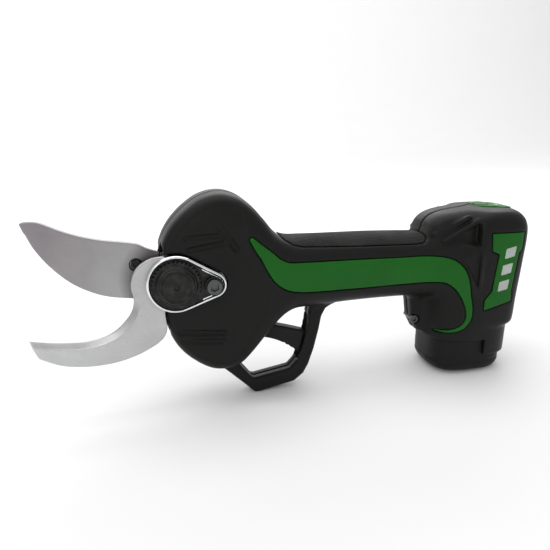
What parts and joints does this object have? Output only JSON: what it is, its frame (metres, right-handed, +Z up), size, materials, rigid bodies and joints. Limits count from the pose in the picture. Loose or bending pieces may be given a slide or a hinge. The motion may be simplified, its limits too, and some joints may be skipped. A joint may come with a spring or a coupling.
{
  "type": "battery electric pruner",
  "caption": "Cordless electric pruner with a hooked fixed blade, a swinging cutting blade, a finger trigger inside a guard, a straight grip and a battery pod at the rear.",
  "frame": {"origin": "centre of the bounding box in X and Y, on the surface that the guard toe and the battery heel stand on", "axes": "+X from the blades to the battery, +Y across the tool away from the fixed blade, +Z up"},
  "size_m": [0.2684, 0.05, 0.1142],
  "materials": {
    "housing_plastic": "satin, fine texture",
    "grip_plastic": "matte, fine dots",
    "green_plastic": "satin",
    "blade_steel": "fine brushed, satin",
    "chrome_rim": "polished",
    "black_steel": "black oxide, satin",
    "gear_steel": "ground",
    "alloy": "machined",
    "brass": "turned",
    "circuit_board": "solder mask",
    "cell_wrap": "plastic wrap",
    "lens": "frosted"
  },
  "bodies": {
    "housing": {"left_shell": "housing_plastic", "right_shell": "housing_plastic", "terminal_block": "housing_plastic", "top_grip_pad": "grip_plastic", "left_stripe": "green_plastic", "right_stripe": "green_plastic", "left_badge": "green_plastic", "right_badge": "green_plastic", "control_panel": "green_plastic", "fixed_blade": "blade_steel", "cover_plate": "chrome_rim", "pivot_nut": "black_steel", "lock_disc": "black_steel", "shell_screw_1": "black_steel", "shell_screw_2": "black_steel", "shell_screw_3": "black_steel", "shell_screw_4": "black_steel", "shell_screw_5": "black_steel", "shell_screw_6": "black_steel", "lock_screw": "gear_steel", "pivot_bolt": "gear_steel", "ring_gear": "gear_steel", "pinion_bearing": "gear_steel", "motor_can": "gear_steel", "trigger_pin": "gear_steel", "trigger_spring": "gear_steel", "gear_frame": "alloy", "motor_end_cap": "alloy", "panel_board": "circuit_board", "controller_board": "circuit_board", "trigger_sensor_board": "circuit_board", "status_light": "lens"},
    "cutter": {"moving_blade": "blade_steel", "sector_gear": "gear_steel", "blade_screw_1": "black_steel", "blade_screw_2": "black_steel", "pivot_bush": "brass"},
    "pinion": {"planet_carrier": "gear_steel"},
    "planet_1": {"planet_gear_1": "gear_steel"},
    "planet_2": {"planet_gear_2": "gear_steel"},
    "planet_3": {"planet_gear_3": "gear_steel"},
    "motor": {"sun_gear": "gear_steel", "motor_rotor": "gear_steel"},
    "trigger": {"trigger_lever": "housing_plastic", "trigger_magnet": "gear_steel"},
    "button": {"power_button": "green_plastic"},
    "battery": {"battery_base": "housing_plastic", "battery_case": "housing_plastic", "battery_board": "circuit_board", "battery_contacts": "brass", "battery_cell_1": "cell_wrap", "battery_cell_2": "cell_wrap", "battery_cell_3": "cell_wrap", "battery_cell_4": "cell_wrap"},
    "latch": {"battery_latch": "housing_plastic"}
  },
  "joints": [
    {"name": "blade_swing", "type": "hinge", "parent": "housing", "child": "cutter", "pos_m": [-0.06212, -0.01141, 0.0728], "axis": [0, -1, 0], "range_deg": [0, 46]},
    {"name": "pinion_spin", "type": "hinge", "parent": "housing", "child": "pinion", "pos_m": [-0.02816, 0.00059, 0.07119], "axis": [-0.9989, 0, 0.0472], "range_deg": [0, 184.5]},
    {"name": "planet_1_spin", "type": "hinge", "parent": "pinion", "child": "planet_1", "pos_m": [-0.01583, 0.00059, 0.07782], "axis": [-0.9989, 0, 0.0472], "range_deg": [-491, 0]},
    {"name": "planet_2_spin", "type": "hinge", "parent": "pinion", "child": "planet_2", "pos_m": [-0.01634, -0.00564, 0.06703], "axis": [-0.9989, 0, 0.0472], "range_deg": [-491, 0]},
    {"name": "planet_3_spin", "type": "hinge", "parent": "pinion", "child": "planet_3", "pos_m": [-0.01634, 0.00683, 0.06703], "axis": [-0.9989, 0, 0.0472], "range_deg": [-491, 0]},
    {"name": "motor_spin", "type": "hinge", "parent": "housing", "child": "motor", "pos_m": [0.0128, 0.00059, 0.06926], "axis": [-0.9989, 0, 0.0472], "range_deg": [0, 921]},
    {"name": "trigger_pull", "type": "hinge", "parent": "housing", "child": "trigger", "pos_m": [-0.02218, 0.00059, 0.03888], "axis": [0, -1, 0], "range_deg": [0, 10], "stiffness_Nm_per_rad": 0.12, "springref_deg": -11.46},
    {"name": "button_press", "type": "slide", "parent": "housing", "child": "button", "axis": [-0.0472, 0, -0.9989], "range_m": [0, 0.0008], "stiffness_N_per_m": 700, "springref_m": -0.0006},
    {"name": "battery_slide", "type": "slide", "parent": "housing", "child": "battery", "axis": [-0.0472, 0, -0.9989], "range_m": [0, 0.09]},
    {"name": "latch_press", "type": "slide", "parent": "battery", "child": "latch", "axis": [-0.9989, 0, 0.0472], "range_m": [0, 0.0007], "stiffness_N_per_m": 700, "springref_m": -0.0006}
  ],
  "couplings": [
    {"joint": "pinion_spin", "follows": "blade_swing", "ratio": 4},
    {"joint": "motor_spin", "follows": "blade_swing", "ratio": 20},
    {"joint": "planet_1_spin", "follows": "blade_swing", "ratio": -10.667},
    {"joint": "planet_2_spin", "follows": "blade_swing", "ratio": -10.667},
    {"joint": "planet_3_spin", "follows": "blade_swing", "ratio": -10.667}
  ]
}
